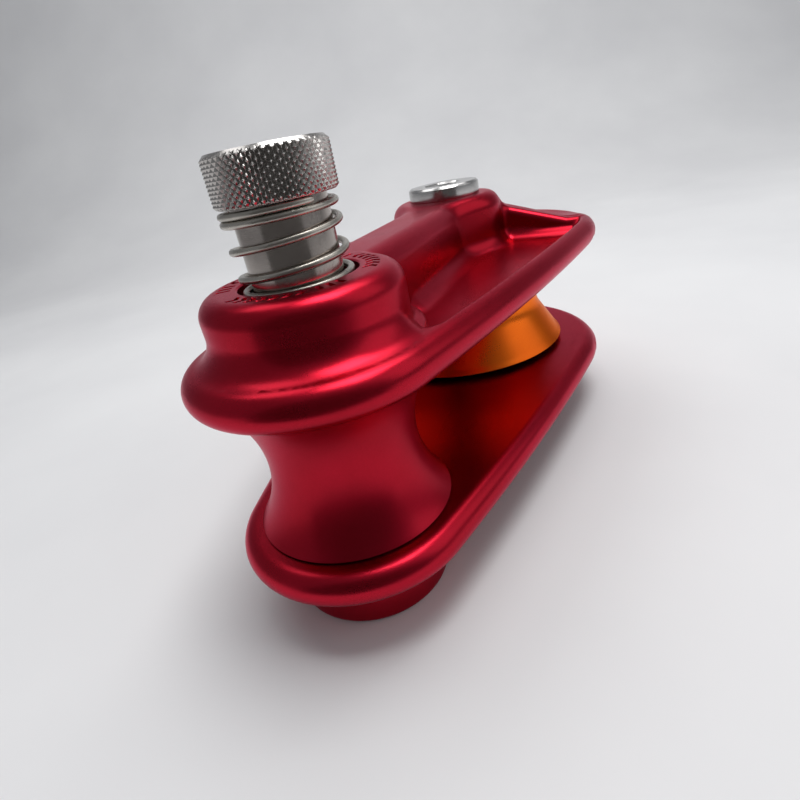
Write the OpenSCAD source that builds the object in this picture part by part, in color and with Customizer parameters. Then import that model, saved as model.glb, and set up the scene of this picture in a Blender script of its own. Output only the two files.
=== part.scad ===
// Arborist rigging block: two cheek plates hold a grooved sheave on an axle and a waisted
// sling spool on a spring-loaded push-and-turn lock pin. The lower cheek swings open about
// the axle once the pin is up. Millimetres; Y runs from the lock pin to the axle, Z is up,
// and the origin is under the middle of the overall box, on the surface that it stands on.

/* [Cheek plates] */
// Distance from the lock pin's axis to the axle's axis
pin_to_axle = 95.5; // [90:0.5:105]
// Radius of each cheek's nose, round the lock pin
nose_r = 28; // [27.5:0.5:31]
// Radius of each cheek's tail, round the axle
tail_r = 48; // [44:0.5:50]
// Radius of the slightly bowed flanks
flank_r = 850; // [700:10:1200]
// Thickness of a cheek plate, which has a full round edge
plate_t = 8.3; // [7.5:0.1:9]
// Clear gap between the two cheeks
cheek_gap = 32.2; // [31:0.1:34]
// Height of the upper cheek's bosses above its plate
upper_boss_h = 12.5; // [11:0.1:14]
// Height of the lower cheek's bosses below its plate
lower_boss_h = 13.6; // [13:0.1:15]
// Radius of the upper nose boss
nose_boss_r = 20.3; // [19.5:0.1:21]
// Radius of the upper tail boss
tail_boss_r = 18.3; // [17:0.1:19.5]
// Radius of the two lower bosses
foot_boss_r = 18.9; // [18.5:0.1:20]
// Depth of the weight-saving pockets
pocket_depth = 5; // [3:0.1:5.5]

/* [Sheave] */
// Radius of the sheave's flanges
sheave_r = 36.2; // [35:0.1:38]
// Radius at the bottom of the rope groove
groove_r = 28.2; // [27:0.1:29]
// Radius of the groove's round root
root_r = 8; // [6:0.5:9]
// Width of the sheave
sheave_w = 29.6; // [28:0.1:30]

/* [Sling spool] */
// Radius of the spool's ends
spool_r = 22.7; // [22:0.1:24]
// Radius of the spool's waist
waist_r = 17; // [16:0.1:18.5]

/* [Lock pin] */
// Radius of the lock pin
pin_r = 9; // [8.5:0.1:9.2]
// Travel of the lock pin when it is pushed in
pin_travel = 8; // [7:0.1:8.2]
// Height of the pin that shows between the boss and the knob at rest
pin_show = 14.15; // [13.5:0.05:15]
// Radius of the knurled knob
knob_r = 11.5; // [11.2:0.1:12.4]
// Height of the knurled knob
knob_h = 8.9; // [7:0.1:10]
// Wire diameter of the lock spring
wire_d = 1.4; // [1.2:0.1:1.5]
// Mean radius of the lock spring
spring_r = 10.4; // [10.2:0.05:10.6]

/* [Axle] */
// Radius of the axle bolt's shank
axle_r = 8; // [7:0.1:8.5]
// Radius of the axle bolt's head
head_r = 11.8; // [11:0.1:12.5]
// Height of the axle bolt's head
head_h = 4.2; // [2.5:0.1:4.5]

/* [Hidden] */
$fn = 96;

FLANK_FN = 1440;              // facets of the very large flank circles
BLANK_FN = 64;                // facets of the cheeks' nose and tail
BEAD_FN = 24;                 // and of their full round edge
BOW_STEPS = 5;                // discs along a cheek that give its flanks their bow
GAP = 0.05;                   // radial running clearance
SLIDE_GAP = 0.3;              // clearance between the swing plate and the spool
EPS = 0.01;                   // overshoot of a cut past the face that it opens

overall_len = nose_r + pin_to_axle + tail_r;
pin_y = nose_r - overall_len / 2;
axle_y = pin_y + pin_to_axle;

low_face_z = lower_boss_h;                    // underside of the lower plate
low_inner_z = low_face_z + plate_t;           // its inner face
up_inner_z = low_inner_z + cheek_gap;         // inner face of the upper plate
up_face_z = up_inner_z + plate_t;             // its upper face
boss_top_z = up_face_z + upper_boss_h;
mid_z = (low_inner_z + up_inner_z) / 2;

bead_r = plate_t / 2;
cove_r = nose_r - bead_r - nose_boss_r - 0.3;   // from the nose boss down almost to the bead
boss_edge_r = 4;
foot_edge_r = 1.5;
rim_w = 4.6;                                  // from a cheek's edge to its pocket
pocket_nose_r = nose_boss_r + 2.7;            // solid ring round the nose boss
pocket_start = 2.7;                           // how far behind the pin a pocket begins
rib_top_w = 18;
rib_base_w = 22;
rib_drop = 0.6;                               // how far the rib's top lies under the bosses
cross_rib_back = 4.5;                         // front of the cross rib, behind the axle's axis
cross_rib_w = 8;
cross_rib_reach = 38.5;                       // where its sloping top meets the rim

// centre of the right flank's arc, on the other side of the plate, from the pin's axis
nose_d = flank_r - nose_r;
tail_d = flank_r - tail_r;
flank_cy = (nose_d * nose_d - tail_d * tail_d + pin_to_axle * pin_to_axle)
    / (2 * pin_to_axle);
flank_cx = -sqrt(nose_d * nose_d - flank_cy * flank_cy);
nose_a = atan2(-flank_cy, -flank_cx);                 // direction of the nose's tangency
tail_a = atan2(pin_to_axle - flank_cy, -flank_cx);    // and of the tail's

// lock pin, its spring and its socket
pin_tip_z = low_inner_z + 0.4;
knob_z = boss_top_z + pin_show;
spring_seat_z = boss_top_z - 2.3;
seat_r = 12;                                  // counterbore round the spring
seat_t = 0.8;                                 // recess for the seat, under the knob
seat_room_r = knob_r - 0.8;
pin_neck_r = pin_r - 1;
bush_flange_t = 0.8;
pin_bush_r = 10.5;
cross_pin_r = 1.5;
cross_pin_len = 22.8;
cross_pin_up = 3;                             // above the pin's tip
lug_room_r = cross_pin_len / 2 + 0.9;         // room for the cross pin to turn in
spigot_r = 13;
spigot_h = 5;
dowel_r = 2;
dowel_len = 9;
dowel_pitch_r = 16.6;
knob_spigot_r = 6;
knob_spigot_h = 6;
grub_r = 1.5;
// lip of the socket, under which the cross pin locks at the end of its travel
lip_t = low_inner_z - pin_tip_z - cross_pin_up - cross_pin_r + pin_travel - 2 * GAP;
lock_bush_r = 14;
lock_bush_h = 12;
lug_slot_w = 3.8;
clip_t = 1.5;
mark_r = [13.5, 15.9];                        // ring of engraved marks round the pin
mark_depth = 0.6;
mark_sets = 3;
chevrons = 7;                                 // in a set, and the angles between them
chevron_start = 8;
chevron_pitch = 9;
tick_angles = [76, 84, 92];
stroke_w = 0.6;

// coils of the lock spring, closed at each end and open between
coil_low = 1;
coil_open = 2.3;
coil_high = 1.4;
closed_pitch = 1.42;
open_rise = knob_z - spring_seat_z - wire_d - closed_pitch * (coil_low + coil_high);
start_angle = 87;
ring_steps = 20;
wire_sides = 10;

// axle stack
sleeve_r = 11;
swing_bush_r = 13;
sheave_bush_r = 14;
nut_af = 24;
nut_h = 8;
washer_r = 15;
washer_t = 1.6;
nut_recess_r = 15.8;
nut_recess_h = 12;
sleeve_z = nut_recess_h - 0.15;               // lower end of the sleeve, against the washer
washer_z = sleeve_z - washer_t;
nut_z = washer_z - nut_h;
thrust_r = 20;
sheave_z = mid_z - sheave_w / 2;
cone_a = 32;                                  // slope of the sheave's flanks from its axis

crimson = [0.60, 0.05, 0.12];
orange = [0.86, 0.42, 0.08];
steel = [0.72, 0.71, 0.69];
dark_steel = [0.35, 0.35, 0.37];
bronze = [0.70, 0.50, 0.25];

module at_pin(z = 0) { translate([0, pin_y, z]) children(); }
module at_axle(z = 0) { translate([0, axle_y, z]) children(); }

// A hollow cylinder
module ring(r_out, r_in, h) {
    difference() {
        cylinder(r = r_out, h = h);
        translate([0, 0, -EPS]) cylinder(r = r_in, h = h + 2 * EPS);
    }
}

// Half of a revolved boss: its outer edge is rounded, and its foot may have a cove
module boss_profile(r, h, edge, cove) {
    square([r - edge, h]);
    square([r, h - edge]);
    translate([r - edge, h - edge]) circle(r = edge);
    if (cove > 0) difference() {
        square([r + cove, cove]);
        translate([r + cove, cove]) circle(r = cove);
    }
}

// A disc with a full round edge, lying on z = 0
module bead_disc(r) {
    rotate_extrude($fn = BLANK_FN) {
        square([r - bead_r, plate_t]);
        translate([r - bead_r, bead_r]) circle(r = bead_r, $fn = BEAD_FN);
    }
}

// Radius of the disc about a point on the plate's centre line that touches both flanks
function disc_r(y) = flank_r - norm([flank_cx, flank_cy - y]);

// A plate with a full round edge all the way round, seen from the pin's axis
module plate_blank() {
    hull() for (y = [0 : pin_to_axle / BOW_STEPS : pin_to_axle])
        translate([0, y, 0]) bead_disc(disc_r(y));
}

// The plate's outline, pulled in all round
module outline(inset) {
    y_nose = flank_cy + (flank_r - inset) * sin(nose_a);
    y_tail = flank_cy + (flank_r - inset) * sin(tail_a);
    circle(r = nose_r - inset);
    translate([0, pin_to_axle]) circle(r = tail_r - inset);
    intersection() {
        translate([flank_cx, flank_cy]) circle(r = flank_r - inset, $fn = FLANK_FN);
        translate([-flank_cx, flank_cy]) circle(r = flank_r - inset, $fn = FLANK_FN);
        translate([-tail_r, y_nose]) square([2 * tail_r, y_tail - y_nose]);
    }
}

// The weight-saving pocket on the right of the rib
module pocket_outline() {
    difference() {
        intersection() {
            outline(rim_w);
            translate([0, pocket_start])
                square([tail_r, pin_to_axle + cross_rib_back - pocket_start]);
        }
        circle(r = pocket_nose_r);
        translate([0, pin_to_axle]) circle(r = tail_boss_r);
        translate([-rib_base_w / 2, 0]) square([rib_base_w, pin_to_axle]);
    }
}

// The rounded rib that joins the two bosses of a cheek
module rib(h) {
    edge = 3;
    translate([0, pin_to_axle, 0]) rotate([90, 0, 0]) linear_extrude(pin_to_axle) {
        polygon([
            [-rib_base_w / 2, 0], [rib_base_w / 2, 0],
            [rib_top_w / 2, h - edge], [-rib_top_w / 2, h - edge]
        ]);
        translate([-rib_top_w / 2 + edge, 0]) square([rib_top_w - 2 * edge, h]);
        for (side = [-1, 1]) translate([side * (rib_top_w / 2 - edge), h - edge])
            circle(r = edge);
    }
}

// The rib across the axle, whose top slopes from the boss down to the rim on each side
module cross_rib(h) {
    translate([0, pin_to_axle + cross_rib_back + cross_rib_w, 0]) rotate([90, 0, 0])
        linear_extrude(cross_rib_w) polygon([
            [-cross_rib_reach, 0], [cross_rib_reach, 0], [cross_rib_reach, pocket_depth],
            [0, h], [-cross_rib_reach, pocket_depth]
        ]);
}

// A cheek plate lying inner face down, seen from the pin's axis, before its bores
module cheek(boss_h, nose_boss, tail_boss, edge) {
    difference() {
        plate_blank();
        for (side = [0, 1]) mirror([side, 0, 0])
            translate([0, 0, plate_t - pocket_depth]) linear_extrude(pocket_depth + EPS)
                pocket_outline();
    }
    translate([0, 0, plate_t - pocket_depth]) {
        rib(boss_h - rib_drop + pocket_depth);
        cross_rib(boss_h - rib_drop + pocket_depth);
        translate([0, pin_to_axle, 0]) rotate_extrude()
            boss_profile(tail_boss, boss_h + pocket_depth, edge, 0);
    }
    intersection() {
        translate([0, 0, plate_t]) rotate_extrude()
            boss_profile(nose_boss, boss_h, edge, cove_r);
        union() {
            cylinder(r = pocket_nose_r, h = plate_t + boss_h);
            translate([-nose_r, -nose_r, 0])
                cube([2 * nose_r, nose_r + pocket_start, plate_t + boss_h]);
        }
    }
}

// Sets of chevrons and ticks, engraved round the pin to show which way the knob turns
module turn_marks() {
    mid = (mark_r[0] + mark_r[1]) / 2;
    half = (mark_r[1] - mark_r[0]) / 2;
    lean = 0.75 * half;
    slant = 0.45;
    for (turn = [0 : 360 / mark_sets : 359]) rotate([0, 0, turn]) {
        for (k = [0 : chevrons - 1]) rotate([0, 0, chevron_start + k * chevron_pitch])
            translate([mid, 0, 0]) linear_extrude(mark_depth + EPS)
                polygon([
                    [-half, -slant], [0, lean - slant], [half, -slant],
                    [half, slant], [0, lean + slant], [-half, slant]
                ]);
        for (tick = tick_angles) rotate([0, 0, tick])
            translate([mark_r[0], -stroke_w / 2, 0])
                cube([2 * half, stroke_w, mark_depth + EPS]);
    }
}

module top_plate() {
    color(crimson) difference() {
        at_pin(up_inner_z) cheek(upper_boss_h, nose_boss_r, tail_boss_r, boss_edge_r);
        at_pin(up_inner_z - EPS) {
            cylinder(r = spigot_r, h = spigot_h + EPS);
            cylinder(r = pin_bush_r, h = plate_t + upper_boss_h);
        }
        at_pin(spring_seat_z - bush_flange_t) cylinder(r = seat_r, h = 5);
        at_pin(up_inner_z - EPS) dowels(dowel_len / 2 + EPS);
        at_pin(boss_top_z - mark_depth) turn_marks();
        at_axle(up_inner_z - EPS) cylinder(r = axle_r, h = plate_t + upper_boss_h + 1);
    }
}

// The two dowels' places, as cylinders of the height asked for
module dowels(h) {
    for (side = [-1, 1]) translate([side * dowel_pitch_r, 0, 0])
        cylinder(r = dowel_r, h = h);
}

module sling_spool() {
    h = cheek_gap - SLIDE_GAP;
    sag = spool_r - waist_r;
    arc_r = (h * h / 4 + sag * sag) / (2 * sag);
    z = low_inner_z + SLIDE_GAP;
    color(crimson) difference() {
        union() {
            at_pin(z) rotate_extrude() difference() {
                square([spool_r, h]);
                translate([waist_r + arc_r, h / 2]) circle(r = arc_r);
            }
            at_pin(up_inner_z) cylinder(r = spigot_r, h = spigot_h);
        }
        at_pin(z - EPS) cylinder(r = pin_r + GAP, h = h + spigot_h + 1);
        at_pin(z - EPS) cylinder(
            r = lug_room_r,
            h = pin_tip_z - z + cross_pin_up + cross_pin_r + 0.4
        );
        at_pin(up_inner_z - dowel_len / 2) dowels(dowel_len);
    }
}

module spool_dowels() {
    color(steel) at_pin(up_inner_z - dowel_len / 2) dowels(dowel_len);
}

module pin_bush() {
    low_z = up_inner_z + spigot_h;
    color(bronze) at_pin() difference() {
        union() {
            translate([0, 0, low_z])
                cylinder(r = pin_bush_r, h = spring_seat_z - low_z);
            translate([0, 0, spring_seat_z - bush_flange_t])
                cylinder(r = seat_r, h = bush_flange_t);
        }
        translate([0, 0, low_z - EPS])
            cylinder(r = pin_r + GAP, h = spring_seat_z - low_z + 2 * EPS);
    }
}

module axle_bolt() {
    chamfer = 0.7;
    hex_af = 10;
    tip_z = nut_z - 0.6;
    color(steel) at_axle() difference() {
        union() {
            translate([0, 0, tip_z]) cylinder(r1 = axle_r - 1, r2 = axle_r, h = 1);
            translate([0, 0, tip_z + 1]) cylinder(r = axle_r, h = boss_top_z - tip_z - 1);
            translate([0, 0, boss_top_z]) cylinder(r = head_r, h = head_h - chamfer);
            translate([0, 0, boss_top_z + head_h - chamfer])
                cylinder(r1 = head_r, r2 = head_r - chamfer, h = chamfer);
        }
        translate([0, 0, boss_top_z + head_h - 5])
            cylinder(d = hex_af / cos(30), h = 5 + EPS, $fn = 6);
    }
}

module axle_sleeve() {
    color(dark_steel) at_axle(sleeve_z) ring(sleeve_r, axle_r, up_inner_z - sleeve_z);
}

module axle_washer() {
    color(steel) at_axle(washer_z) ring(washer_r, axle_r, washer_t);
}

module axle_nut() {
    color(steel) at_axle(nut_z) difference() {
        intersection() {
            cylinder(d = nut_af / cos(30), h = nut_h, $fn = 6);
            cylinder(r1 = nut_af / 2, r2 = nut_af / 2 + nut_h * 2, h = nut_h);
        }
        translate([0, 0, -EPS]) cylinder(r = axle_r, h = nut_h + 2 * EPS);
    }
}

module upper_thrust_washer() {
    z = sheave_z + sheave_w + GAP;
    color(bronze) at_axle(z) ring(thrust_r, sleeve_r + GAP, up_inner_z - z);
}

module lower_thrust_washer() {
    z = low_inner_z + GAP;
    color(bronze) at_axle(z) ring(thrust_r, sleeve_r + GAP, sheave_z - GAP - z);
}

module sheave() {
    half = sheave_w / 2;
    tangent_z = root_r * sin(cone_a);
    tangent_r = groove_r + root_r * (1 - cos(cone_a));
    rim_z = tangent_z + (sheave_r - tangent_r) / tan(cone_a);
    edge_r = min(sheave_r, tangent_r + (half - tangent_z) * tan(cone_a));
    color(orange) at_axle(mid_z) difference() {
        rotate_extrude() difference() {
            translate([0, -half]) square([edge_r, sheave_w]);
            translate([groove_r + root_r, 0]) circle(r = root_r);
            polygon([
                [tangent_r, -tangent_z], [edge_r + 5, -rim_z - 8],
                [edge_r + 5, rim_z + 8], [tangent_r, tangent_z]
            ]);
        }
        translate([0, 0, -half - EPS]) cylinder(r = sheave_bush_r, h = sheave_w + 2 * EPS);
    }
}

module sheave_bush() {
    color(bronze) at_axle(sheave_z) ring(sheave_bush_r, sleeve_r + GAP, sheave_w);
}

module swing_plate() {
    color(crimson) difference() {
        at_pin(low_inner_z) mirror([0, 0, 1])
            cheek(lower_boss_h, foot_boss_r, foot_boss_r, foot_edge_r);
        at_pin(low_inner_z - lock_bush_h) cylinder(r = lock_bush_r, h = lock_bush_h + EPS);
        at_pin(-EPS) cylinder(r = lock_bush_r - 1, h = lower_boss_h);
        at_pin(low_inner_z - lock_bush_h - clip_t) cylinder(r = lock_bush_r + 1, h = clip_t);
        at_axle(-EPS) cylinder(r = swing_bush_r, h = low_inner_z + 1);
        at_axle(-EPS) cylinder(r = nut_recess_r, h = nut_recess_h + EPS);
    }
}

module swing_bush() {
    color(bronze) at_axle(nut_recess_h)
        ring(swing_bush_r, sleeve_r + GAP, low_inner_z - nut_recess_h);
}

// The socket in the swing plate: the lugs drop through its slots and turn under its lip
module lock_bush() {
    floor_t = 2.6;
    room_h = lock_bush_h - lip_t - floor_t;
    color(steel) at_pin(low_inner_z - lock_bush_h) difference() {
        cylinder(r = lock_bush_r, h = lock_bush_h);
        translate([0, 0, floor_t]) {
            cylinder(r = lug_room_r, h = room_h);
            cylinder(r = pin_r + 2 * GAP, h = lock_bush_h);
            translate([-lug_room_r, -lug_slot_w / 2, 0])
                cube([2 * lug_room_r, lug_slot_w, lock_bush_h]);
        }
        translate([0, 0, -EPS]) cylinder(r = 5, h = lock_bush_h);
    }
}

module lock_bush_ring() {
    gap_w = 6;
    color(dark_steel) at_pin(low_inner_z - lock_bush_h - clip_t) difference() {
        ring(lock_bush_r + 1, lock_bush_r - 2, clip_t);
        translate([0, -gap_w / 2, -EPS])
            cube([2 * lock_bush_r, gap_w, clip_t + 2 * EPS]);
    }
}

module spring_seat() {
    color(steel) at_pin(knob_z + GAP)
        ring(seat_room_r - GAP, pin_neck_r + GAP, seat_t - 2 * GAP);
}

module lock_pin() {
    chamfer = 1;
    color(steel) at_pin() difference() {
        union() {
            translate([0, 0, pin_tip_z]) cylinder(r1 = pin_r - chamfer, r2 = pin_r, h = chamfer);
            translate([0, 0, pin_tip_z + chamfer])
                cylinder(r = pin_r, h = knob_z - pin_tip_z - chamfer);
            translate([0, 0, knob_z]) cylinder(r = pin_neck_r, h = seat_t);
            translate([0, 0, knob_z + seat_t])
                cylinder(r = knob_spigot_r, h = knob_spigot_h - seat_t);
        }
        translate([0, 0, pin_tip_z + cross_pin_up]) rotate([0, 90, 0])
            cylinder(r = cross_pin_r, h = 3 * pin_r, center = true);
    }
}

module lock_cross_pin() {
    color(dark_steel) at_pin(pin_tip_z + cross_pin_up) rotate([0, 90, 0])
        cylinder(r = cross_pin_r, h = cross_pin_len, center = true);
}

module pin_knob() {
    top_edge = 0.9;
    edge = 0.6;
    color(steel) at_pin(knob_z) difference() {
        union() {
            cylinder(r1 = knob_r - edge, r2 = knob_r, h = edge);
            translate([0, 0, edge]) cylinder(r = knob_r, h = knob_h - edge - top_edge);
            translate([0, 0, knob_h - top_edge])
                cylinder(r1 = knob_r, r2 = knob_r - top_edge, h = top_edge);
        }
        translate([0, 0, -EPS]) {
            cylinder(r = seat_room_r, h = seat_t + EPS);
            cylinder(r = knob_spigot_r, h = knob_spigot_h + EPS);
        }
        translate([0, 0, knob_h / 2]) rotate([-90, 0, 0])
            cylinder(r = grub_r, h = knob_r + 1);
    }
}

module knob_grub_screw() {
    depth = 0.8;
    inner = knob_spigot_r;
    color(dark_steel) at_pin(knob_z + knob_h / 2) rotate([-90, 0, 0])
        translate([0, 0, inner]) difference() {
            cylinder(r = grub_r, h = knob_r - depth - inner);
            translate([0, 0, 2]) cylinder(d = 1.5 / cos(30), h = 10, $fn = 6);
        }
}

// Height of the wire's centre after t turns
function coil_z(t) =
    t < coil_low ? t * closed_pitch
    : t < coil_low + coil_open
    ? coil_low * closed_pitch + (t - coil_low) * open_rise / coil_open
    : coil_low * closed_pitch + open_rise + (t - coil_low - coil_open) * closed_pitch;

module lock_spring() {
    turns = coil_low + coil_open + coil_high;
    n = ceil(turns * ring_steps);
    points = [
        for (i = [0 : n], j = [0 : wire_sides - 1])
        let (
            t = turns * i / n,
            a = start_angle + 360 * t,
            b = 360 * j / wire_sides,
            r = spring_r + wire_d / 2 * cos(b)
        )
        [r * cos(a), r * sin(a), coil_z(t) + wire_d / 2 * (1 + sin(b))]
    ];
    faces = concat(
        [[for (j = [0 : wire_sides - 1]) j]],
        [
            for (i = [0 : n - 1], j = [0 : wire_sides - 1])
            let (k = (j + 1) % wire_sides, a = i * wire_sides, b = a + wire_sides)
            [a + j, b + j, b + k, a + k]
        ],
        [[for (j = [wire_sides - 1 : -1 : 0]) n * wire_sides + j]]
    );
    color(steel) at_pin(spring_seat_z) polyhedron(points, faces);
}

top_plate();
sling_spool();
spool_dowels();
pin_bush();
axle_bolt();
axle_sleeve();
axle_washer();
axle_nut();
upper_thrust_washer();
lower_thrust_washer();
sheave();
sheave_bush();
swing_plate();
swing_bush();
lock_bush();
lock_bush_ring();
spring_seat();
lock_pin();
lock_cross_pin();
pin_knob();
knob_grub_screw();
lock_spring();
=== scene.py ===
import math

import bpy
import numpy as np
from mathutils import Matrix, Vector


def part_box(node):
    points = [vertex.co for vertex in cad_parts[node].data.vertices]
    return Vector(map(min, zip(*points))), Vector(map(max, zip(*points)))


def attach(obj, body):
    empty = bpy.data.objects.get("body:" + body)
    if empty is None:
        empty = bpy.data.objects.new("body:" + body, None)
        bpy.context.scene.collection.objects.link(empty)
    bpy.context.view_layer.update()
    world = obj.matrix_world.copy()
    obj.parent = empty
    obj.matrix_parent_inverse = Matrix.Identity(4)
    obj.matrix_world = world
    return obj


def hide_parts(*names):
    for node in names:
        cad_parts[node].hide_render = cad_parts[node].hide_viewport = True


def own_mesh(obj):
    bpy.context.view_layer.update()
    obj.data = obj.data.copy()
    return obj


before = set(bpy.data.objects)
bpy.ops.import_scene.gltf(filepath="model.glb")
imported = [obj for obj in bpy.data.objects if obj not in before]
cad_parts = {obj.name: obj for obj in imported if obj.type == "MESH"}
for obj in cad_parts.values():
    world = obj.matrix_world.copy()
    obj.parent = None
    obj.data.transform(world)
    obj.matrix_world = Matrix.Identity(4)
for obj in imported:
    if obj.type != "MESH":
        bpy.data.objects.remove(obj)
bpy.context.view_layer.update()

MM = 0.001
TAU = 2 * math.pi


def span(node):
    """Lowest and highest corner of a CAD node, in millimetres."""
    low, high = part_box(node)
    return np.array(low) / MM, np.array(high) / MM


# ---------------------------------------------------------------- levels and axes of the frame
top_low, top_high = span("top_plate")
swing_low, swing_high = span("swing_plate")
pin_low, pin_high = span("lock_pin")
knob_low, knob_high = span("pin_knob")
spring_low = span("lock_spring")[0]
spool_low, spool_high = span("sling_spool")
sheave_low, sheave_high = span("sheave")
axle_low, axle_high = span("axle_bolt")
bush_low, bush_high = span("pin_bush")

PIN = (pin_low[:2] + pin_high[:2]) / 2
AXLE = (sheave_low[:2] + sheave_high[:2]) / 2
PIN_TO_AXLE = AXLE[1] - PIN[1]
NOSE_R = PIN[1] - top_low[1]
TAIL_R = top_high[1] - AXLE[1]
UP_INNER = top_low[2]
BOSS_TOP = top_high[2]
LOW_INNER = swing_high[2]
PLATE_T = 8.3
BEAD_R = PLATE_T / 2
UPPER_BOSS_H = BOSS_TOP - UP_INNER - PLATE_T
LOWER_BOSS_H = LOW_INNER - PLATE_T

# ---------------------------------------------------------------- meshes


def put(name, verts, faces, material, body, stands_for=None, normals=None, angle=35):
    """A mesh piece from millimetre points, riding on a body."""
    mesh = bpy.data.meshes.new(name)
    verts = np.asarray(verts, dtype=np.float64) * MM
    mesh.from_pydata(verts.tolist(), [], [list(map(int, f)) for f in faces])
    mesh.update()
    mesh.shade_smooth()
    if normals is None:
        mesh.set_sharp_from_angle(angle=math.radians(angle))
    else:
        mesh.normals_split_custom_set(normals.tolist())
    piece = bpy.data.objects.new(name, mesh)
    bpy.context.scene.collection.objects.link(piece)
    piece.data.materials.append(material)
    if stands_for:
        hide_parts(stands_for)
    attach(piece, body)
    return piece


def rounded(points, radii, steps=6):
    """An open profile whose inner corners are rounded by the given radii."""
    points = [np.array(p, float) for p in points]
    out = [points[0]]
    for i in range(1, len(points) - 1):
        r = radii[i]
        if r <= 0:
            out.append(points[i])
            continue
        a = points[i - 1] - points[i]
        b = points[i + 1] - points[i]
        a /= np.linalg.norm(a)
        b /= np.linalg.norm(b)
        half = math.acos(np.clip(a @ b, -1, 1)) / 2
        middle = (a + b) / np.linalg.norm(a + b)
        centre = points[i] + middle * r / math.sin(half)
        start = points[i] + a * r / math.tan(half) - centre
        end = points[i] + b * r / math.tan(half) - centre
        turn = math.atan2(start[0] * end[1] - start[1] * end[0], start @ end)
        for k in range(steps + 1):
            t = turn * k / steps
            out.append(centre + [
                start[0] * math.cos(t) - start[1] * math.sin(t),
                start[0] * math.sin(t) + start[1] * math.cos(t),
            ])
    out.append(points[-1])
    return np.array(out)


def spin(rings, centre, caps=(False, False), loop=False):
    """Points and faces of rings, each a (radii round the circle, height) pair."""
    steps = len(rings[0][0])
    angle = TAU * np.arange(steps) / steps
    verts = np.concatenate([
        np.stack([
            centre[0] + r * np.cos(angle), centre[1] + r * np.sin(angle),
            np.broadcast_to(h, (steps,)),
        ], 1)
        for r, h in rings
    ])
    faces = []
    j = np.arange(steps)
    k = (j + 1) % steps
    for i in range(len(rings) if loop else len(rings) - 1):
        a, b = i * steps, (i + 1) % len(rings) * steps
        faces.append(np.stack([a + j, a + k, b + k, b + j], 1))
    faces = np.concatenate(faces).tolist()
    if caps[0]:
        faces.append(j[::-1].tolist())
    if caps[1]:
        faces.append(((len(rings) - 1) * steps + j).tolist())
    return verts, faces


def lathe(profile, centre, steps=192, caps=(False, False), loop=False):
    """A profile of (radius, height) points, counted upwards on the outside, turned round."""
    return spin([(np.full(steps, r), h) for r, h in profile], centre, caps, loop)


def gradient(field, p, eps=0.02):
    """The field's slope at each point, by central differences."""
    out = np.empty_like(p)
    for a in range(3):
        d = np.zeros(3)
        d[a] = eps
        q, r = p + d, p - d
        out[:, a] = field(q[:, 0], q[:, 1], q[:, 2]) - field(r[:, 0], r[:, 1], r[:, 2])
    return out / (2 * eps)


def unit(v):
    """Vectors scaled to length 1."""
    return v / np.maximum(np.linalg.norm(v, axis=-1, keepdims=True), 1e-12)


# how a contour is made; the first two and the last are counted in lattice steps
LATTICE_SHIFT = 1.37                 # keeps flat faces off the lattice's own planes
LATTICE_PAD = 1.9
SLAB = 12                            # layers of the lattice tested at a time
HALVINGS = 10                        # to find where an edge of the lattice is crossed
STEADY = 0.04                        # holds a point near its hits where the surface is flat
CREASE = 0.93                        # mean normals shorter than this lie on a sharp edge
STRAY = 0.8                          # how far a point may move from its hits


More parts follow.
